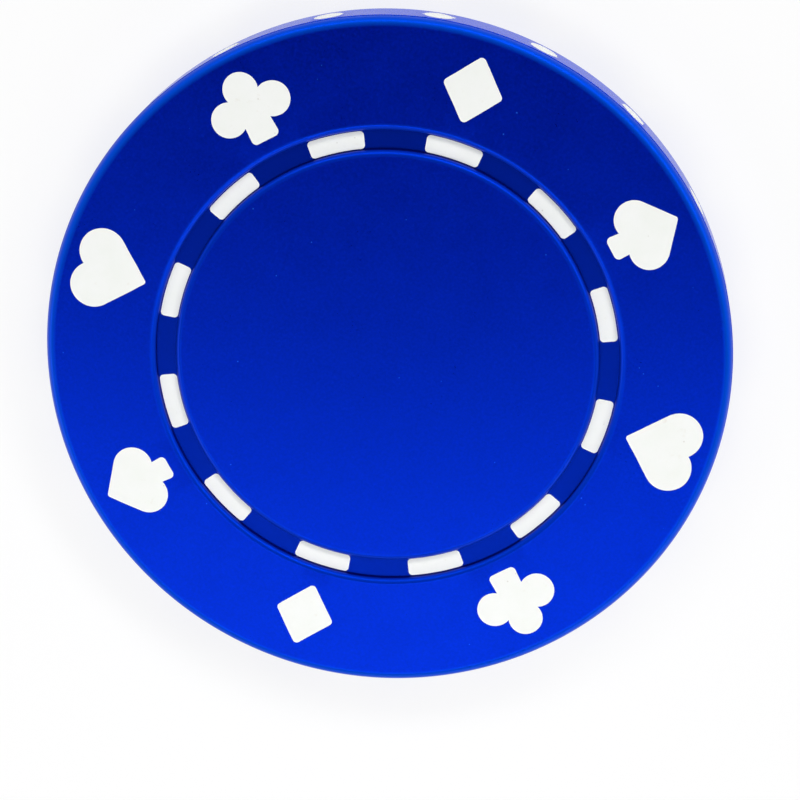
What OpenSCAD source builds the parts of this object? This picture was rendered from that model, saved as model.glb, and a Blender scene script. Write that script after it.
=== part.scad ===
// Poker chip, 39 mm across, lying flat with the middle of its lower face at the origin.
// A steel slug gives it weight. A white core is moulded round the slug's rim, and its raised suits, dashes
// and spots come out flush through the blue shell that is moulded over both.
// Both faces carry the same design: the lower one is the upper one turned over about the X axis.

/* [Chip] */
// Diameter over the side wall
chip_d = 39; // [34:0.2:46]
// Thickness over the two faces
chip_t = 3.2; // [3:0.1:4]
// Radius of the rounded edge between a face and the side wall
rim_round = 0.45; // [0.2:0.05:0.6]
// Step at the mould's parting lines, where the side wall stands out from the rounded edges
parting_step = 0.04; // [0.02:0.01:0.08]
// Width of the band of a face that carries the suits, from the groove's outer wall to the side wall
band_w = 6.34; // [5.4:0.02:7.4]

/* [Groove] */
// Width of the groove between its two walls
groove_w = 1.12; // [0.9:0.02:1.6]
// Depth of the groove below the face
groove_depth = 0.4; // [0.3:0.05:0.5]
// Share of the groove's depth that the rounded lips on both its sides take
lip_share = 0.8; // [0.2:0.05:0.9]

/* [Dashes] */
// Number of dashes in the groove of a face
dash_count = 12; // [4:4:16]
// Length of a dash along the middle of the groove
dash_len = 3.16; // [2:0.02:4]
// Radius of a dash's corners
dash_corner = 0.22; // [0.1:0.02:0.3]
// Width of blue groove floor left along both sides of a dash
dash_margin = 0.06; // [0.02:0.02:0.12]

/* [Edge spots] */
// Number of spots around the side wall
spot_count = 20; // [12:4:24]
// Diameter of a spot
spot_d = 1.6; // [1.2:0.05:1.8]

/* [Suits] */
// Height of a diamond, before its corners are rounded
diamond_h = 4; // [3.4:0.1:4.2]
// Width of a diamond, before its corners are rounded
diamond_w = 3.5; // [2.8:0.1:3.8]
// Radius of a diamond's corners
diamond_corner = 0.25; // [0.1:0.05:0.35]
// Radius of a heart's two lobes
heart_lobe_r = 1.32; // [1.2:0.02:1.36]
// Share of a heart lobe's radius from the heart's axis to the lobe's middle
heart_spread_share = 0.76; // [0.6:0.01:0.9]
// Distance from a heart's lobes to its tip
heart_reach = 2.85; // [2.6:0.05:2.9]
// Place of a heart's lobes outside the suits' circle
heart_lobe_out = 0.88; // [0.7:0.02:0.9]
// Radius of a spade's two lobes
spade_lobe_r = 1.13; // [1:0.01:1.2]
// Share of a spade lobe's radius from the spade's axis to the lobe's middle
spade_spread_share = 0.83; // [0.6:0.01:0.9]
// Distance from a spade's lobes to its tip
spade_reach = 2.22; // [2:0.02:2.4]
// Place of a spade's lobes inside the suits' circle
spade_lobe_in = 0.12; // [0:0.02:0.3]
// Radius of a club's outer lobe
club_top_r = 0.98; // [0.9:0.02:1.1]
// Place of a club's outer lobe outside the suits' circle
club_top_out = 1.1; // [1:0.02:1.2]
// Radius of a club's two side lobes
club_side_r = 1; // [0.9:0.02:1.1]
// Distance between the middles of a club's side lobes
club_side_gap = 2.7; // [2.5:0.02:2.8]
// Place of a club's side lobes inside the suits' circle
club_side_in = 0.12; // [0:0.02:0.3]
// Radius of the tips of hearts and spades
tip_round = 0.18; // [0.05:0.01:0.3]
// Width of a spade's stem where it leaves the lobes
spade_stem_w = 1.2; // [1:0.05:1.4]
// Width of a club's stem where it leaves the lobes
club_stem_w = 1.46; // [1.2:0.02:1.6]
// Widening of a stem towards its foot
stem_flare = 0.2; // [0.1:0.02:0.3]
// Place of the stems' feet inside the suits' circle
stem_foot_in = 2.03; // [1.9:0.01:2.1]
// Radius of the corners of a stem's foot
stem_corner = 0.28; // [0.1:0.02:0.4]

/* [Inside] */
// Width of core between the slug's rim and the groove's inner wall
slug_margin = 0.58; // [0.4:0.02:2]
// Thickness of the steel slug
slug_t = 2.2; // [1.8:0.1:2.4]
// Bevel around both edges of the slug, which the core grips
slug_bevel = 0.5; // [0.4:0.05:0.6]
// Thickness of the core's ring, which carries the suits, dashes and spots
core_t = 1.7; // [1.5:0.05:1.9]
// Depth of blue shell between the core's ring and the side wall
core_cover = 1.3; // [1:0.1:1.6]

/* [Hidden] */
$fn = 120;
// Distance that every cutting shape runs past the surface that it cuts
overrun = 0.1;
// Largest distance between an arc and the straight sides that follow it in an outline
arc_sag = 0.005;
SUITS = ["heart", "spade", "diamond", "club"];
// The suits go round each face twice
suit_rounds = 2;
suit_count = suit_rounds * len(SUITS);

chip_r = chip_d / 2;
face_z = chip_t / 2;
edge_r = chip_r - parting_step;
wall_h = chip_t - 2 * rim_round;
floor_z = face_z - groove_depth;
lip_round = groove_depth * lip_share;
groove_r = chip_r - band_w;
land_r = groove_r - groove_w;
dash_inner_r = land_r + dash_margin;
dash_outer_r = groove_r - dash_margin;
dash_half_angle = dash_len / (dash_inner_r + dash_outer_r) * 180 / PI;
// The suits' circle runs midway between the groove's wall and the middle of the rounded edge
suit_ring_r = (groove_r + edge_r - rim_round / 2) / 2;
slug_r = land_r - slug_margin;
core_r = chip_r - core_cover;
core_z = core_t / 2;

// Outlines

function unit(v) = v / norm(v);

function at_angle(angle) = [cos(angle), sin(angle)];

// Points along an arc, both ends included
function arc(centre, radius, from, to) =
    let (steps = ceil(abs(to - from) / (2 * acos(1 - arc_sag / radius))))
    [for (i = [0:steps]) centre + radius * at_angle(from + (to - from) * i / steps)];

// Points along an arc, without its ends
function inside_arc(centre, radius, from, to) =
    let (points = arc(centre, radius, from, to))
    [for (i = [1:len(points) - 2]) points[i]];

// Rounded corner of a convex outline that runs anticlockwise through the three points
function round_corner(before, here, after, radius) =
    let (
        back = unit(before - here),
        ahead = unit(after - here),
        half_angle = acos(back * ahead) / 2,
        centre = here + unit(back + ahead) * radius / sin(half_angle),
        from = atan2(-back.y, -back.x) - 90
    )
    arc(centre, radius, from, from + 180 - 2 * half_angle);

// Convex outline with every corner rounded
function rounded(points, radius) =
    let (n = len(points))
    [for (i = [0:n - 1]) each round_corner(points[(i + n - 1) % n], points[i], points[(i + 1) % n], radius)];

// Closes the right half of an outline, from its lowest to its highest point, with its mirror image
function with_mirror_image(half) =
    concat(half, [for (i = [len(half) - 2:-1:1]) [-half[i].x, half[i].y]]);

// Two round lobes side by side on the X axis, drawn in by straight sides to a tip on the -Y axis
function lobed_tip(lobe_r, spread_share, reach, tip_r) =
    let (
        lobe = [lobe_r * spread_share, 0],
        half_tip = atan2(lobe.x, reach) + asin(lobe_r / norm([lobe.x, reach])),
        tip = [0, tip_r / sin(half_tip) - reach],
        notch = 180 - acos(spread_share)
    )
    with_mirror_image(concat(arc(tip, tip_r, -90, -half_tip), arc(lobe, lobe_r, -half_tip, notch)));

// Band of a ring about the X axis, with straight radial ends and rounded corners
function arc_bar(inner_r, outer_r, half_angle, corner) =
    let (
        inner_turn = half_angle - asin(corner / (inner_r + corner)),
        outer_turn = half_angle - asin(corner / (outer_r - corner)),
        inner_corner = (inner_r + corner) * at_angle(inner_turn),
        outer_corner = (outer_r - corner) * at_angle(outer_turn)
    )
    concat(
        arc([outer_corner.x, -outer_corner.y], corner, -half_angle - 90, -outer_turn),
        inside_arc([0, 0], outer_r, -outer_turn, outer_turn),
        arc(outer_corner, corner, outer_turn, half_angle + 90),
        arc(inner_corner, corner, half_angle + 90, inner_turn + 180),
        inside_arc([0, 0], inner_r, inner_turn, -inner_turn),
        arc([inner_corner.x, -inner_corner.y], corner, 180 - inner_turn, 270 - half_angle)
    );

// Marks: the suits have +Y pointing out of the chip and the suits' circle at the origin

module diamond() {
    half_w = diamond_w / 2;
    half_h = diamond_h / 2;
    polygon(rounded([[0, half_h], [-half_w, 0], [0, -half_h], [half_w, 0]], diamond_corner));
}

module heart() {
    translate([0, heart_lobe_out])
        polygon(lobed_tip(heart_lobe_r, heart_spread_share, heart_reach, tip_round));
}

module spade() {
    translate([0, -spade_lobe_in]) rotate(180)
        polygon(lobed_tip(spade_lobe_r, spade_spread_share, spade_reach, tip_round));
    suit_stem(spade_stem_w);
}

module club() {
    side = [club_side_gap / 2, -club_side_in];
    translate([0, club_top_out]) circle(club_top_r);
    for (flip = [0, 1]) mirror([flip, 0]) translate(side) circle(club_side_r);
    polygon([[0, club_top_out], [-side.x, side.y], side]);
    suit_stem(club_stem_w);
}

// Stem from the suits' circle inwards, wider at its rounded foot
module suit_stem(neck_w) {
    half_neck = neck_w / 2;
    half_foot = half_neck + stem_flare / 2;
    polygon(rounded([
        [-half_neck, 0],
        [-half_foot, -stem_foot_in],
        [half_foot, -stem_foot_in],
        [half_neck, 0]
    ], stem_corner));
}

module dash() {
    polygon(arc_bar(dash_inner_r, dash_outer_r, dash_half_angle, dash_corner));
}

module suit(name) {
    if (name == "heart") heart();
    if (name == "spade") spade();
    if (name == "diamond") diamond();
    if (name == "club") club();
}

// Half sections, in the plane of radius and height about the middle of the chip

module slug_profile() {
    rim_z = slug_t / 2 - slug_bevel;
    polygon([
        [0, -slug_t / 2],
        [slug_r - slug_bevel, -slug_t / 2],
        [slug_r, -rim_z],
        [slug_r, rim_z],
        [slug_r - slug_bevel, slug_t / 2],
        [0, slug_t / 2]
    ]);
}

module core_profile() {
    translate([0, -core_z]) square([core_r, core_t]);
}

// Material taken off the groove's inner lip, whose sharp edge is at the origin
module lip_profile() {
    difference() {
        translate([-lip_round, -lip_round]) square([lip_round, lip_round + overrun]);
        translate([-lip_round, -lip_round]) circle(lip_round);
    }
}

// Groove of the upper face
module groove_profile() {
    translate([land_r, floor_z]) square([groove_w, groove_depth + overrun]);
    translate([land_r, face_z]) lip_profile();
    translate([groove_r, face_z]) mirror([1, 0]) lip_profile();
}

// Upper rounded edge, from the side wall's end to the face
module edge_profile() {
    translate([edge_r - rim_round, wall_h / 2]) intersection() {
        circle(rim_round);
        square(rim_round);
    }
}

// Whole chip, with its rounded edges, parting steps and grooves
module chip_profile() {
    difference() {
        union() {
            translate([0, -wall_h / 2]) square([chip_r, wall_h]);
            translate([0, -face_z]) square([edge_r - rim_round, chip_t]);
            for (flip = [0, 1]) mirror([0, flip]) edge_profile();
        }
        for (flip = [0, 1]) mirror([0, flip]) groove_profile();
    }
}

// Raised marks of the core, which the shell is moulded around

// Suits and dashes of the upper face, standing on the core's ring and running on by extra at the surface
module face_marks(extra) {
    root_z = core_z - overrun;
    translate([0, 0, root_z]) {
        for (i = [0:suit_count - 1]) rotate(i * 360 / suit_count - 90) translate([0, suit_ring_r])
            linear_extrude(face_z - root_z + extra) suit(SUITS[i % len(SUITS)]);
        for (i = [0:dash_count - 1]) rotate(i * 360 / dash_count)
            linear_extrude(floor_z - root_z + extra) dash();
    }
}

// The same marks on both faces, the lower ones turned over about the X axis
module all_face_marks(extra) {
    face_marks(extra);
    rotate([180, 0, 0]) face_marks(extra);
}

// Round pins from inside the core's ring out past the side wall, half a pitch from the hearts and diamonds
module edge_pins() {
    pitch = 360 / spot_count;
    root_r = core_r - spot_d / 2;
    for (i = [0:spot_count - 1]) rotate((i + 1 / 2) * pitch) translate([root_r, 0, 0])
        rotate([0, 90, 0]) cylinder(h = chip_r - root_r + overrun, d = spot_d);
}

// Sub-parts

module steel_slug() {
    color("silver") translate([0, 0, face_z]) rotate_extrude() slug_profile();
}

module white_core() {
    color("white") translate([0, 0, face_z]) {
        rotate_extrude() difference() {
            core_profile();
            slug_profile();
        }
        all_face_marks(0);
        intersection() {
            edge_pins();
            cylinder(h = chip_t, r = chip_r, center = true);
        }
    }
}

module blue_shell() {
    color("mediumblue") translate([0, 0, face_z]) difference() {
        rotate_extrude() difference() {
            chip_profile();
            core_profile();
            slug_profile();
        }
        all_face_marks(overrun);
        edge_pins();
    }
}

steel_slug();
white_core();
blue_shell();
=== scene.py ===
"""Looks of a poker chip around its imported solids.

Metres, +Z up, the chip lying flat on the floor with the middle of its lower face at the origin.
Outlines are worked out in millimetres about the middle of the chip and scaled when they become meshes.
"""

import math
import random

import bmesh
import bpy
from mathutils import Euler, Matrix, Vector, noise


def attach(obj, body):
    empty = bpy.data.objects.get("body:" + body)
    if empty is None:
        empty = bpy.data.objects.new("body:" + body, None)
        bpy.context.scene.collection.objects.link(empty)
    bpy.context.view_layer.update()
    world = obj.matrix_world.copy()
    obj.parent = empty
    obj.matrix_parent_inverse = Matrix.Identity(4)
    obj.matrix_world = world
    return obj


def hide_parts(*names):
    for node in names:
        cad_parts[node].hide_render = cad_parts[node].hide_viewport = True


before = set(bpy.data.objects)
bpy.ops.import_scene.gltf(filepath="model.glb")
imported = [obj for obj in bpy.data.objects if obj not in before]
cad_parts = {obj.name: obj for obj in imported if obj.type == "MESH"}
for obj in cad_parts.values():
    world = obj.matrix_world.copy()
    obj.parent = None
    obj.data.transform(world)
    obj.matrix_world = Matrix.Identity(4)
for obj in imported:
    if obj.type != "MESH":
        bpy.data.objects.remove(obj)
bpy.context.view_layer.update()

MM = 0.001

# Camera: place in millimetres, turn in degrees
CAMERA_PLACE = (-0.395, 44.029, 153.447)
CAMERA_TURN = (-16.452, 4.520, 17.224)
CAMERA_LENS = 124.62
CAMERA_SENSOR = 36.0
CAMERA_CLIP = (1.0, 10000.0)

# Sizes of the solids, in millimetres
CHIP_R = 19.5
FACE_Z = 1.6
RIM_ROUND = 0.45
PARTING_STEP = 0.04
BAND_W = 6.34
GROOVE_W = 1.12
GROOVE_DEPTH = 0.4
LIP_SHARE = 0.8
DASH_COUNT = 12
DASH_LEN = 3.16
DASH_CORNER = 0.22
DASH_MARGIN = 0.06
SPOT_COUNT = 20
SPOT_R = 0.8
SLUG_MARGIN = 0.58
SLUG_Z = 1.1
SLUG_BEVEL = 0.5
CORE_Z = 0.85
CORE_COVER = 1.3

EDGE_R = CHIP_R - PARTING_STEP
RIM_R = EDGE_R - RIM_ROUND
WALL_Z = FACE_Z - RIM_ROUND
FLOOR_Z = FACE_Z - GROOVE_DEPTH
LIP_ROUND = GROOVE_DEPTH * LIP_SHARE
GROOVE_R = CHIP_R - BAND_W
LAND_R = GROOVE_R - GROOVE_W
SUIT_RING_R = (GROOVE_R + EDGE_R - RIM_ROUND / 2) / 2
SLUG_R = LAND_R - SLUG_MARGIN
CORE_R = CHIP_R - CORE_COVER

# Suits, each about its own middle with its foot towards -Y, in millimetres
SUITS = ("heart", "spade", "diamond", "club")
SUIT_COUNT = 8
TIP_ROUND = 0.18
HEART_LOBE_R, HEART_SPREAD, HEART_REACH, HEART_RISE = 1.32, 0.76, 2.85, 0.88
SPADE_LOBE_R, SPADE_SPREAD, SPADE_REACH, SPADE_RISE = 1.13, 0.83, 2.22, -0.12
SPADE_STEM_W = 1.2
DIAMOND_HALF_W, DIAMOND_HALF_H, DIAMOND_CORNER = 1.75, 2.0, 0.25
CLUB_TOP, CLUB_TOP_R = (0, 1.1), 0.98
CLUB_SIDE, CLUB_SIDE_R = (1.35, -0.12), 1.0
CLUB_STEM_W = 1.46
STEM_FLARE, STEM_FOOT_Y, STEM_CORNER = 0.2, -2.03, 0.28

# Fins and ragged edges of the spots: angles in degrees, the rest in millimetres
FIN_COUNTS = (1, 1, 2)
FIN_SWING = 22
FIN_HEIGHT = (0.03, 0.2)
FIN_HALF_WIDTH = (5, 16)
SPOT_RAGGED = (0.008, 0.02)
SPOT_STEP = 4
RAGGED_PER_RADIUS = 3

# Small differences between the marks
MARK_GROWTH = 0.012
MARK_WOBBLE = 0.016
WOBBLE_PER_MM = 0.9
DRIFT = 100
SEED = 20

# Fineness of the meshes: steps of arcs in degrees, lengths in millimetres
LATHE_STEPS = 360
ROUND_STEP = 7.5
LEDGE_ROUND, LEDGE_STEP = 0.025, 30
ARC_STEP = 5.0
RING_STEP = 1.0
OUTLINE_STEP = 0.12
OVERRUN = 0.1
WELD = 0.00001
SHARP_ANGLE = 35
LARGE_FACES_FIRST = 100


# Outlines, as lists of points that run anticlockwise

def at_angle(degrees):
    turn = math.radians(degrees)
    return Vector((math.cos(turn), math.sin(turn)))


def angle_of(direction):
    return math.degrees(math.atan2(direction.y, direction.x))


def arc(centre, radius, start, end, step=ARC_STEP):
    count = max(1, math.ceil(abs(end - start) / step))
    turns = [start + (end - start) * i / count for i in range(count + 1)]
    return [Vector(centre) + radius * at_angle(turn) for turn in turns]


def circle(centre, radius):
    return arc(centre, radius, 0, 360)[:-1]


def round_corner(before, here, after, radius):
    back = (before - here).normalized()
    ahead = (after - here).normalized()
    half = math.degrees(back.angle(ahead)) / 2
    centre = here + (back + ahead).normalized() * radius / math.sin(math.radians(half))
    start = angle_of(-back) - 90
    return arc(centre, radius, start, start + 180 - 2 * half)


def rounded(corners, radius):
    points = [Vector(c) for c in corners]
    around = zip(points[-1:] + points[:-1], points, points[1:] + points[:1])
    return [p for before, here, after in around for p in round_corner(before, here, after, radius)]


def lobed_tip(lobe_r, spread_share, reach):
    """Two lobes side by side on the X axis, drawn in by straight sides to a tip on the -Y axis."""
    lobe = Vector((lobe_r * spread_share, 0))
    slant = math.atan2(lobe.x, reach) + math.asin(lobe_r / math.hypot(lobe.x, reach))
    half_tip = math.degrees(slant)
    tip = Vector((0, TIP_ROUND / math.sin(slant) - reach))
    notch = 180 - math.degrees(math.acos(spread_share))
    half = arc(tip, TIP_ROUND, -90, -half_tip) + arc(lobe, lobe_r, -half_tip, notch)
    return half + [Vector((-p.x, p.y)) for p in half[-2:0:-1]]


def stem(neck_w):
    neck, foot = neck_w / 2, (neck_w + STEM_FLARE) / 2
    return rounded([(-neck, 0), (-foot, STEM_FOOT_Y), (foot, STEM_FOOT_Y), (neck, 0)], STEM_CORNER)


def moved(points, offset, turn=0.0):
    swing = Matrix.Rotation(math.radians(turn), 2)
    return [swing @ p + Vector(offset) for p in points]


def heart():
    return [moved(lobed_tip(HEART_LOBE_R, HEART_SPREAD, HEART_REACH), (0, HEART_RISE))]


def spade():
    leaf = lobed_tip(SPADE_LOBE_R, SPADE_SPREAD, SPADE_REACH)
    return [moved(leaf, (0, SPADE_RISE), 180), stem(SPADE_STEM_W)]


def diamond():
    w, h = DIAMOND_HALF_W, DIAMOND_HALF_H
    return [rounded([(0, h), (-w, 0), (0, -h), (w, 0)], DIAMOND_CORNER)]


def club():
    top, side = Vector(CLUB_TOP), Vector(CLUB_SIDE)
    other = Vector((-side.x, side.y))
    leaves = [circle(top, CLUB_TOP_R), circle(side, CLUB_SIDE_R), circle(other, CLUB_SIDE_R)]
    return [[top, other, side], stem(CLUB_STEM_W)] + leaves


SUIT_OUTLINES = {"heart": heart, "spade": spade, "diamond": diamond, "club": club}


def dash():
    """Band of a ring about the X axis, with straight radial ends and rounded corners."""
    inner_r, outer_r, corner = LAND_R + DASH_MARGIN, GROOVE_R - DASH_MARGIN, DASH_CORNER
    half = math.degrees(DASH_LEN / (inner_r + outer_r))
    inner_turn = half - math.degrees(math.asin(corner / (inner_r + corner)))
    outer_turn = half - math.degrees(math.asin(corner / (outer_r - corner)))
    inner = (inner_r + corner) * at_angle(inner_turn)
    outer = (outer_r - corner) * at_angle(outer_turn)
    flip = Matrix(((1, 0), (0, -1)))
    return (
        arc(flip @ outer, corner, -half - 90, -outer_turn)
        + arc((0, 0), outer_r, -outer_turn, outer_turn, RING_STEP)[1:-1]
        + arc(outer, corner, outer_turn, half + 90)
        + arc(inner, corner, half + 90, inner_turn + 180)
        + arc((0, 0), inner_r, inner_turn, -inner_turn, RING_STEP)[1:-1]
        + arc(flip @ inner, corner, 180 - inner_turn, 270 - half)
    )


def fins(rng):
    """Middle, height and half width of each fin of a spot."""
    found = []
    for side in (0, 180):
        for _ in range(rng.choice(FIN_COUNTS)):
            middle = side + rng.uniform(-FIN_SWING, FIN_SWING)
            found.append((middle, rng.uniform(*FIN_HEIGHT), rng.uniform(*FIN_HALF_WIDTH)))
    return found


def spot(rng):
    """Round spot with ragged fins at mid height, where the two halves of the first mould met."""
    spot_fins = fins(rng)
    ragged = rng.uniform(*SPOT_RAGGED)
    drift = rng.uniform(0, DRIFT)
    points = []
    for turn in range(0, 360, SPOT_STEP):
        reach = SPOT_R
        for middle, height, half_width in spot_fins:
            off = (turn - middle + 180) % 360 - 180
            reach += height * max(0.0, 1 - abs(off) / half_width)
        here = at_angle(turn)
        reach += ragged * noise.noise((here.x * RAGGED_PER_RADIUS, here.y * RAGGED_PER_RADIUS, drift))
        points.append(here * reach)
    return points


def resampled(points, step):
    """The same outline with more points along its straight sides."""
    dense = []
    for here, after in zip(points, points[1:] + points[:1]):
        count = max(1, math.ceil((after - here).length / step))
        dense += [here.lerp(after, i / count) for i in range(count)]
    return dense


def unevenly(outlines, rng):
    """A mark as moulded: slightly larger or smaller than drawn, with a soft wobble along its edge."""
    growth = 1 + rng.uniform(-MARK_GROWTH, MARK_GROWTH)
    drift = rng.uniform(0, DRIFT)

    def moulded(p):
        push = noise.noise_vector((p.x * WOBBLE_PER_MM, p.y * WOBBLE_PER_MM, drift))
        return p * growth + MARK_WOBBLE * push.to_2d()

    return [[moulded(p) for p in resampled(o, OUTLINE_STEP)] for o in outlines]


# Meshes

def new_mesh(name, points, faces):
    mesh = bpy.data.meshes.new(name)
    mesh.from_pydata([Vector(p) * MM for p in points], [], faces)
    mesh.update()
    return mesh


def new_object(name, data):
    obj = bpy.data.objects.new(name, data)
    bpy.context.scene.collection.objects.link(obj)
    return obj


def lathe(name, profile, steps=LATHE_STEPS):
    """Solid of revolution. The profile runs from the lower to the upper end of the axis."""
    points = [(0, 0, profile[0][1]), (0, 0, profile[-1][1])]
    rings = []
    for r, z in profile[1:-1]:
        rings.append(range(len(points), len(points) + steps))
        for i in range(steps):
            points.append((*(r * at_angle(360 * i / steps)), z))
    faces = []
    for i in range(steps):
        j = (i + 1) % steps
        faces.append((0, rings[0][j], rings[0][i]))
        faces.append((1, rings[-1][i], rings[-1][j]))
        for low, high in zip(rings, rings[1:]):
            faces.append((low[i], low[j], high[j], high[i]))
    return new_object(name, new_mesh(name, points, faces))


def prisms(name, solids):
    """Straight solids: each has an outline, its two levels, and a matrix that places it."""
    points, faces = [], []
    for outline, low, high, place in solids:
        count, first = len(outline), len(points)
        for level in (low, high):
            points += [place @ Vector((p.x, p.y, level)) for p in outline]
        bottom = range(first, first + count)
        top = range(first + count, first + 2 * count)
        faces.append(tuple(reversed(bottom)))
        faces.append(tuple(top))
        for i in range(count):
            j = (i + 1) % count
            faces.append((bottom[i], bottom[j], top[j], top[i]))
    return new_object(name, new_mesh(name, points, faces))


def combine(target, operation, other):
    """Changes the target by a boolean operation and removes the other solid."""
    boolean = target.modifiers.new(operation, "BOOLEAN")
    boolean.operation = operation
    boolean.solver = "MANIFOLD"
    boolean.object = other
    bpy.context.view_layer.update()
    evaluated = target.evaluated_get(bpy.context.evaluated_depsgraph_get())
    made = bpy.data.meshes.new_from_object(evaluated)
    target.modifiers.clear()
    target.data = made
    bpy.data.objects.remove(other)


def copy_of(obj, name):
    return new_object(name, obj.data.copy())


def chip_half_profile():
    """Half section of the upper half, from the middle of the side wall to the axis."""
    ledge = Vector((CHIP_R - LEDGE_ROUND, WALL_Z - LEDGE_ROUND))
    outer_lip = Vector((GROOVE_R + LIP_ROUND, FACE_Z - LIP_ROUND))
    inner_lip = Vector((LAND_R - LIP_ROUND, FACE_Z - LIP_ROUND))
    profile = arc(ledge, LEDGE_ROUND, 0, 90, LEDGE_STEP)
    profile += arc((RIM_R, WALL_Z), RIM_ROUND, 0, 90, ROUND_STEP)
    profile += arc(outer_lip, LIP_ROUND, 90, 180, ROUND_STEP)
    profile += [Vector((GROOVE_R, FLOOR_Z)), Vector((LAND_R, FLOOR_Z))]
    profile += arc(inner_lip, LIP_ROUND, 0, 90, ROUND_STEP)
    return profile


def whole_profile(half):
    """Closes a half section with its mirror image below, and with the two ends of the axis."""
    low, high = (0, -half[-1].y), (0, half[-1].y)
    return [low] + [(p.x, -p.y) for p in reversed(half)] + [(p.x, p.y) for p in half] + [high]


def mark_layers(rng):
    """The marks of both faces as layers of solids, with no two of one layer touching."""
    layers = {}
    root = CORE_Z - OVERRUN
    for side in (0, 180):
        turn_over = Matrix.Rotation(math.radians(side), 4, "X")
        for i in range(SUIT_COUNT):
            turn = Matrix.Rotation(2 * math.pi * i / SUIT_COUNT - math.pi / 2, 4, "Z")
            place = turn_over @ turn @ Matrix.Translation((0, SUIT_RING_R, 0))
            outlines = unevenly(SUIT_OUTLINES[SUITS[i % len(SUITS)]](), rng)
            for layer, outline in enumerate(outlines):
                layers.setdefault(layer, []).append((outline, root, FACE_Z + OVERRUN, place))
        for i in range(DASH_COUNT):
            place = turn_over @ Matrix.Rotation(2 * math.pi * i / DASH_COUNT, 4, "Z")
            layers[0].append((dash(), root, FLOOR_Z + OVERRUN, place))
    return layers.values()


def pins(rng):
    """Pins from the core's ring to past the side wall, with ragged spots as their outlines."""
    outwards = Matrix(((0, 0, 1, 0), (1, 0, 0, 0), (0, 1, 0, 0), (0, 0, 0, 1)))
    half_step = 0.5
    solids = []
    for i in range(SPOT_COUNT):
        place = Matrix.Rotation(2 * math.pi * (i + half_step) / SPOT_COUNT, 4, "Z") @ outwards
        solids.append((spot(rng), CORE_R - SPOT_R, CHIP_R + OVERRUN, place))
    return solids


def make_chip():
    """The two mouldings: the core fills what the marks take from the chip, and the shell is the rest."""
    rng = random.Random(SEED)
    noise.seed_set(SEED)
    shell = lathe("chip_shell", whole_profile(chip_half_profile()))
    cutter = lathe("cutter", whole_profile([Vector((CORE_R, CORE_Z))]))
    for layer in mark_layers(rng):
        combine(cutter, "UNION", prisms("marks", layer))
    combine(cutter, "UNION", prisms("pins", pins(rng)))
    bevel = [Vector((SLUG_R, SLUG_Z - SLUG_BEVEL)), Vector((SLUG_R - SLUG_BEVEL, SLUG_Z))]
    slug_room = lathe("slug_room", whole_profile(bevel))
    core = copy_of(shell, "chip_core")
    combine(core, "INTERSECT", copy_of(cutter, "marks"))
    combine(core, "DIFFERENCE", copy_of(slug_room, "room"))
    combine(shell, "DIFFERENCE", cutter)
    combine(shell, "DIFFERENCE", slug_room)
    return shell, core


def finish_mesh(obj):
    """Puts the chip on the floor, cleans its mesh and sets its shading."""
    mesh = obj.data
    mesh.transform(Matrix.Translation((0, 0, FACE_Z * MM)))
    work = bmesh.new()
    work.from_mesh(mesh)
    bmesh.ops.remove_doubles(work, verts=work.verts, dist=WELD * MM)
    bmesh.ops.dissolve_degenerate(work, edges=work.edges, dist=WELD * MM)
    work.to_mesh(mesh)
    work.free()
    mesh.polygons.foreach_set("use_smooth", [True] * len(mesh.polygons))
    mesh.set_sharp_from_angle(angle=math.radians(SHARP_ANGLE))
    weighted = obj.modifiers.new("weighted", "WEIGHTED_NORMAL")
    weighted.keep_sharp = True
    weighted.weight = LARGE_FACES_FIRST


# Node trees

NOISE_LOW, NOISE_HIGH = 0.3, 0.7
SPECK_CORE = 0.6
MIX_A, MIX_B, MIX_RESULT = 6, 7, 2


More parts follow.
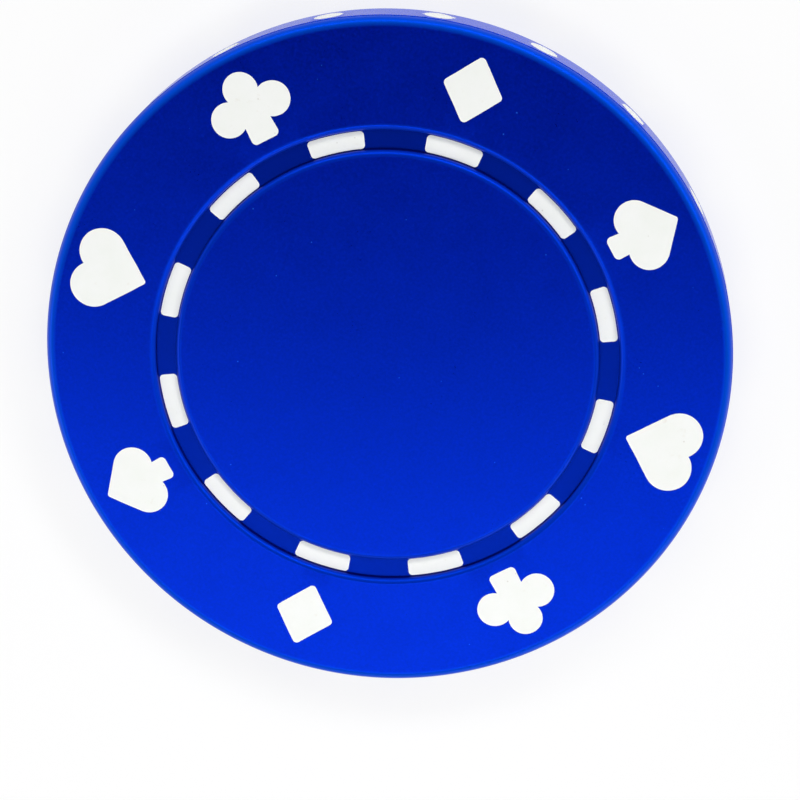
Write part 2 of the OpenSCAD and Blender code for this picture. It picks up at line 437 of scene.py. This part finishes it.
class Graph:
    """A node tree with one short call for each node. Patterns are scaled in millimetres."""

    def __init__(self, owner, shader):
        owner.use_nodes = True
        self.tree = owner.node_tree
        self.shader = self.tree.nodes[shader]

    def add(self, kind, inputs=None, **settings):
        node = self.tree.nodes.new("ShaderNode" + kind)
        for key, value in settings.items():
            setattr(node, key, value)
        for key, value in (inputs or {}).items():
            self.feed(node.inputs[key], value)
        return node

    def feed(self, socket, value):
        if isinstance(value, bpy.types.NodeSocket):
            self.tree.links.new(value, socket)
        else:
            socket.default_value = value

    def shade(self, inputs):
        for key, value in inputs.items():
            self.feed(self.shader.inputs[key], value)

    def mapped(self, place, **inputs):
        return self.add("Mapping", {"Vector": place, **inputs}).outputs["Vector"]

    def millimetres(self):
        return self.mapped(self.add("TexCoord").outputs["Object"], Scale=(1 / MM,) * 3)

    def radius(self, place):
        flat = self.add("VectorMath", {0: place, 1: (1.0, 1.0, 0.0)}, operation="MULTIPLY")
        return self.add("VectorMath", {0: flat.outputs["Vector"]}, operation="LENGTH").outputs["Value"]

    def math(self, operation, a, b=0.0):
        return self.add("Math", {0: a, 1: b}, operation=operation).outputs["Value"]

    def noise(self, place, scale, detail, roughness):
        inputs = {"Vector": place, "Scale": scale, "Detail": detail, "Roughness": roughness}
        return self.add("TexNoise", inputs).outputs["Fac"]

    def span(self, value, low, high, to_low=0.0, to_high=1.0):
        inputs = {"Value": value, "From Min": low, "From Max": high, "To Min": to_low, "To Max": to_high}
        return self.add("MapRange", inputs).outputs["Result"]

    def spread(self, pattern, to_low=0.0, to_high=1.0):
        """The range that most of a noise lies in, spread over another."""
        return self.span(pattern, NOISE_LOW, NOISE_HIGH, to_low, to_high)

    def blend(self, factor, a, b):
        node = self.add("Mix", {"Factor": factor}, data_type="RGBA")
        self.feed(node.inputs[MIX_A], a)
        self.feed(node.inputs[MIX_B], b)
        return node.outputs[MIX_RESULT]

    def specks(self, place, scale, radius, share, strength):
        """Mask of small round specks, with the share of the cells that have one."""
        node = self.add("TexVoronoi", {"Vector": place, "Scale": scale})
        pick = self.add("SeparateColor", {"Color": node.outputs["Color"]}).outputs["Red"]
        near = self.span(node.outputs["Distance"], radius * scale, SPECK_CORE * radius * scale)
        found = self.math("MULTIPLY", near, self.math("LESS_THAN", pick, share))
        return self.math("MULTIPLY", found, strength)

    def bump(self, height, distance):
        inputs = {"Height": height, "Distance": distance * MM, "Strength": 1.0}
        return self.add("Bump", inputs).outputs["Normal"]


def material_graph(name):
    material = bpy.data.materials.new(name)
    return material, Graph(material, "Principled BSDF")


def rgb(red, green, blue):
    return (red, green, blue, 1.0)


def grey(level):
    return rgb(level, level, level)


# Blue plastic. Noises: scale per millimetre, detail, roughness. Specks: scale, radius, share, strength

BLUE_GRAIN = (8.0, 3.0, 0.65)
BLUE_CLOUDS = (0.35, 4.0, 0.6)
BLUE_FLECKS = (5.0, 2.0, 0.5)
BLUE_MOTTLE = (6.0, 1.0, 0.5)
BLUE_DEEP, BLUE_BRIGHT = rgb(0.0001, 0.002, 0.15), rgb(0.0002, 0.0035, 0.18)
FLECK_RANGE, FLECK_SHARE, FLECK_BLUE = (0.58, 0.78), 0.4, rgb(0.002, 0.02, 0.42)
MOTTLE_SHARE, MOTTLE_BLUE = 0.3, rgb(0.0005, 0.006, 0.32)
PALE_SPECKS, PALE_BLUE = (3.0, 0.05, 0.015, 0.55), rgb(0.03, 0.2, 0.9)
DARK_SPECKS, DARK_BLUE = (3.0, 0.05, 0.008, 0.6), rgb(0.0005, 0.004, 0.12)
DARK_SHIFT = (7.0, 3.0, 5.0)

MASK_BLUR = 0.02
# Painted shade: a darker blue over the groove's floor, darkest at the feet of its walls, with a rougher
# finish there
PAINTED_SHADE_FLOOR, PAINTED_SHADE_FEET, PAINTED_SHADE_FEET_W = 0.88, 0.12, 0.25
PAINTED_SHADE_BLUE, PAINTED_SHADE_ROUGH = rgb(0.0, 0.0005, 0.02), 0.1
# Painted highlight: a lighter blue on the rounded lips on both sides of the groove
PAINTED_LIP_FADE, PAINTED_LIP_FULL, PAINTED_LIP_HIGHLIGHT = 0.08, 0.6, rgb(0.0, 0.03, 0.45)
# Painted highlight: a lighter blue band on the rounded rim
PAINTED_RIM_SPAN = (RIM_R - 0.1, RIM_R + 0.15)
PAINTED_RIM_HIGHLIGHT = rgb(0.0, 0.07, 0.6)
# Painted sheen: a lighter blue on the side wall, which is also given a smoother finish
WALL = (EDGE_R + 0.005, EDGE_R + 0.015)
PAINTED_WALL_SHEEN, WALL_POLISH = rgb(0.001, 0.05, 0.6), 0.1

BLUE_ROUGH, BLUE_CLOUD_ROUGH = (0.28, 0.36), 0.015
BLUE_BUMP = 0.005
BLUE_IOR = 1.95
BLUE_SHEEN, BLUE_SHEEN_TINT = 1.0, rgb(0.0, 0.05, 1.0)


def blue_pattern(g, place, clouds):
    """Clouds, paler flecks, a fine mottle, and a few pale and dark specks."""
    flecks, mottle = g.noise(place, *BLUE_FLECKS), g.noise(place, *BLUE_MOTTLE)
    color = g.blend(g.spread(clouds), BLUE_DEEP, BLUE_BRIGHT)
    color = g.blend(g.span(flecks, *FLECK_RANGE, 0.0, FLECK_SHARE), color, FLECK_BLUE)
    shade, light = g.blend(MOTTLE_SHARE, color, grey(0.0)), g.blend(MOTTLE_SHARE, color, MOTTLE_BLUE)
    color = g.blend(g.spread(mottle), shade, light)
    color = g.blend(g.specks(place, *PALE_SPECKS), color, PALE_BLUE)
    return g.blend(g.specks(g.mapped(place, Location=DARK_SHIFT), *DARK_SPECKS), color, DARK_BLUE)


def groove_masks(g, radius):
    """Painted shade on the groove's floor, darkest at the feet of its walls, and painted highlights on
    the lips beside it.
    """
    off_middle = g.math("ABSOLUTE", g.math("SUBTRACT", radius, (LAND_R + GROOVE_R) / 2))
    wall = GROOVE_W / 2
    # Painted shade: darkens the groove's floor, more so at the feet of its walls
    floor = g.span(off_middle, wall + MASK_BLUR, wall - MASK_BLUR, 0.0, PAINTED_SHADE_FLOOR)
    feet = g.span(off_middle, wall - PAINTED_SHADE_FEET_W, wall - MASK_BLUR, 0.0, PAINTED_SHADE_FEET)
    inside = g.math("LESS_THAN", off_middle, wall + MASK_BLUR)
    painted_shade = g.math("MULTIPLY", g.math("ADD", floor, feet), inside)
    # Painted highlight on the rounded lips beside the groove
    lip = g.span(off_middle, wall + LIP_ROUND + PAINTED_LIP_FADE, wall + PAINTED_LIP_FULL * LIP_ROUND)
    lip_highlight_mask = g.math("MULTIPLY", lip, g.math("GREATER_THAN", off_middle, wall + MASK_BLUR))
    return painted_shade, lip_highlight_mask


def blue_plastic():
    material, g = material_graph("blue_plastic")
    place = g.millimetres()
    radius = g.radius(place)
    grain, clouds = g.noise(place, *BLUE_GRAIN), g.noise(place, *BLUE_CLOUDS)
    painted_shade, painted_lip_mask = groove_masks(g, radius)
    painted_rim_mask, wall = g.span(radius, *PAINTED_RIM_SPAN), g.span(radius, *WALL)
    # Painted shade: darker blue in the groove
    color = g.blend(painted_shade, blue_pattern(g, place, clouds), PAINTED_SHADE_BLUE)
    # Painted highlight: lighter blue on the rounded rim
    color = g.blend(painted_rim_mask, color, PAINTED_RIM_HIGHLIGHT)
    # Painted highlight: lighter blue on the groove's lips
    color = g.blend(painted_lip_mask, color, PAINTED_LIP_HIGHLIGHT)
    # Painted sheen: lighter blue on the side wall
    color = g.blend(wall, color, PAINTED_WALL_SHEEN)
    clouded = g.spread(clouds, -BLUE_CLOUD_ROUGH, BLUE_CLOUD_ROUGH)
    rough = g.math("ADD", g.spread(grain, *BLUE_ROUGH), clouded)
    rough = g.math("SUBTRACT", rough, g.math("MULTIPLY", wall, WALL_POLISH))
    # Rougher where the shade is painted in the groove
    rough = g.math("ADD", rough, g.math("MULTIPLY", painted_shade, PAINTED_SHADE_ROUGH))
    g.shade({
        "Base Color": color,
        "Roughness": rough,
        "Normal": g.bump(grain, BLUE_BUMP),
        "IOR": BLUE_IOR,
        "Specular IOR Level": BLUE_SHEEN,
        "Specular Tint": BLUE_SHEEN_TINT,
    })
    return material


# White plastic

WHITE_GRAIN = (7.0, 3.0, 0.6)
WHITE_CLOUDS = (0.6, 4.0, 0.6)
WHITE_STAINS = (1.7, 5.0, 0.65)
WHITE_DULL, WHITE_CLEAN = rgb(0.92, 0.94, 0.90), rgb(0.95, 0.96, 0.94)
STAIN_RANGE, STAIN_SHARE, STAIN_COLOR = (0.63, 0.8), 0.5, rgb(0.78, 0.75, 0.66)
DIRT_SPECKS, DIRT_COLOR = (3.5, 0.06, 0.02, 0.35), rgb(0.45, 0.40, 0.33)
WHITE_ROUGH = (0.38, 0.52)
WHITE_BUMP = 0.004
WHITE_IOR = 1.5


def white_plastic():
    material, g = material_graph("white_plastic")
    place = g.millimetres()
    grain, clouds = g.noise(place, *WHITE_GRAIN), g.noise(place, *WHITE_CLOUDS)
    stains = g.noise(place, *WHITE_STAINS)
    color = g.blend(g.spread(clouds), WHITE_DULL, WHITE_CLEAN)
    color = g.blend(g.span(stains, *STAIN_RANGE, 0.0, STAIN_SHARE), color, STAIN_COLOR)
    color = g.blend(g.specks(place, *DIRT_SPECKS), color, DIRT_COLOR)
    g.shade({
        "Base Color": color,
        "Roughness": g.spread(grain, *WHITE_ROUGH),
        "Normal": g.bump(grain, WHITE_BUMP),
        "IOR": WHITE_IOR,
    })
    return material


# Rolled steel, drawn out along X

STEEL_STRETCH = (0.15, 6.0, 6.0)
STEEL_LINES = (2.0, 4.0, 0.6)
STEEL_RUST = (0.5, 5.0, 0.65)
STEEL_DARK, STEEL_BRIGHT = rgb(0.50, 0.50, 0.49), rgb(0.60, 0.60, 0.58)
RUST_RANGE, RUST_SHARE, RUST_COLOR = (0.66, 0.8), 0.5, rgb(0.30, 0.18, 0.10)
STEEL_ROUGH = (0.3, 0.45)
STEEL_BUMP = 0.004


def rolled_steel():
    material, g = material_graph("rolled_steel")
    place = g.millimetres()
    lines = g.noise(g.mapped(place, Scale=STEEL_STRETCH), *STEEL_LINES)
    rust = g.noise(place, *STEEL_RUST)
    color = g.blend(g.spread(lines), STEEL_DARK, STEEL_BRIGHT)
    color = g.blend(g.span(rust, *RUST_RANGE, 0.0, RUST_SHARE), color, RUST_COLOR)
    g.shade({
        "Base Color": color,
        "Metallic": 1.0,
        "Roughness": g.spread(lines, *STEEL_ROUGH),
        "Normal": g.bump(lines, STEEL_BUMP),
    })
    return material


# Stage. FLOOR_LIGHT is the share of the floor's glow that also lights the chip from below

FLOOR_SIZE = 3000.0
FLOOR_GAP = 0.01
FLOOR_GREY, FLOOR_ROUGH = 0.25, 0.8
FLOOR_GLOW, FLOOR_LIGHT = 0.75, 0.95
WORLD_LEVEL = 0.15
HORIZON_TOP, HORIZON_TINT = 0.35, rgb(0.7, 0.92, 1.0)
CEILING, CEILING_LEVEL = 0.7, 0.2

# Lamps: clock angle on the face as the camera sees it and angle above the floor, in degrees,
# distance and size in millimetres, power in watts
STAGE_TURN = 17.9
KEY_SIZE, FAR_SIZE, LOW_SIZE = (80, 50), (700, 120), (400, 150)
LAMPS = {
    "key_left": (213, 59.5, 174, KEY_SIZE, 0.0545),
    "key_right": (162, 62.5, 169, KEY_SIZE, 0.0545),
    "top": (-5, 38, 600, FAR_SIZE, 1.37),
    "right": (55, 38, 600, FAR_SIZE, 1.37),
    "low_left": (245, 26, 600, LOW_SIZE, 0.5),
    "low_right": (150, 26, 600, LOW_SIZE, 0.5),
}


def seen_directly(g):
    """1 for what the camera, a reflection or a clear material sees of the floor, and 0 for its light."""
    path = g.add("LightPath").outputs
    mirrored = g.math("MAXIMUM", path["Is Glossy Ray"], path["Is Transmission Ray"])
    return g.math("MAXIMUM", path["Is Camera Ray"], mirrored)


def make_floor():
    half = FLOOR_SIZE / 2
    square = ((-half, -half), (half, -half), (half, half), (-half, half))
    corners = [(x, y, -FLOOR_GAP) for x, y in square]
    floor = new_object("floor", new_mesh("floor", corners, [(0, 1, 2, 3)]))
    material, g = material_graph("floor_white")
    glow = g.math("MAXIMUM", seen_directly(g), FLOOR_LIGHT)
    g.shade({
        "Base Color": grey(FLOOR_GREY),
        "Roughness": FLOOR_ROUGH,
        "Specular IOR Level": 0.0,
        "Emission Color": grey(1.0),
        "Emission Strength": g.math("MULTIPLY", glow, FLOOR_GLOW),
    })
    floor.data.materials.append(material)


def make_world():
    """White to the camera, a white horizon under a dim ceiling in reflections, and faint as light."""
    world = bpy.data.worlds.new("studio")
    g = Graph(world, "Background")
    path = g.add("LightPath").outputs
    rise = g.add("SeparateXYZ", {"Vector": g.add("TexCoord").outputs["Generated"]}).outputs["Z"]
    mirrored = g.span(rise, HORIZON_TOP, CEILING, 1.0, CEILING_LEVEL)
    strength = g.span(path["Is Glossy Ray"], 0.0, 1.0, WORLD_LEVEL, mirrored)
    g.shade({
        "Color": g.blend(path["Is Glossy Ray"], grey(1.0), HORIZON_TINT),
        "Strength": g.math("MAXIMUM", strength, path["Is Camera Ray"]),
    })
    bpy.context.scene.world = world


def make_lamp(name, clock, height, distance, size, power):
    """Soft lamp aimed at the middle of the chip."""
    data = bpy.data.lights.new(name, "AREA")
    data.shape = "RECTANGLE"
    data.size, data.size_y = (s * MM for s in size)
    data.energy = power
    lamp = new_object(name, data)
    turn = Euler((math.radians(height), 0, math.radians(STAGE_TURN - clock)))
    lamp.location = turn.to_matrix() @ Vector((0, distance, 0)) * MM
    lamp.rotation_euler = (-lamp.location).to_track_quat("-Z", "Y").to_euler()


def make_camera():
    data = bpy.data.cameras.new("camera")
    data.lens = CAMERA_LENS
    data.sensor_width = CAMERA_SENSOR
    data.clip_start, data.clip_end = (c * MM for c in CAMERA_CLIP)
    camera = new_object("camera", data)
    camera.location = Vector(CAMERA_PLACE) * MM
    camera.rotation_euler = Euler([math.radians(a) for a in CAMERA_TURN])
    bpy.context.scene.camera = camera


def dress(obj, material):
    obj.data.materials.clear()
    obj.data.materials.append(material)


make_camera()
bpy.context.scene.view_settings.view_transform = "Standard"
make_floor()
make_world()
for lamp_name, settings in LAMPS.items():
    make_lamp(lamp_name, *settings)

shell, core = make_chip()
for piece, node, slot, material in (
    (shell, "blue_shell", "blue_plastic", blue_plastic()),
    (core, "white_core", "white_plastic", white_plastic()),
):
    finish_mesh(piece)
    dress(piece, material)
    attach(piece, "root")
    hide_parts(node)
dress(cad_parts["steel_slug"], rolled_steel())
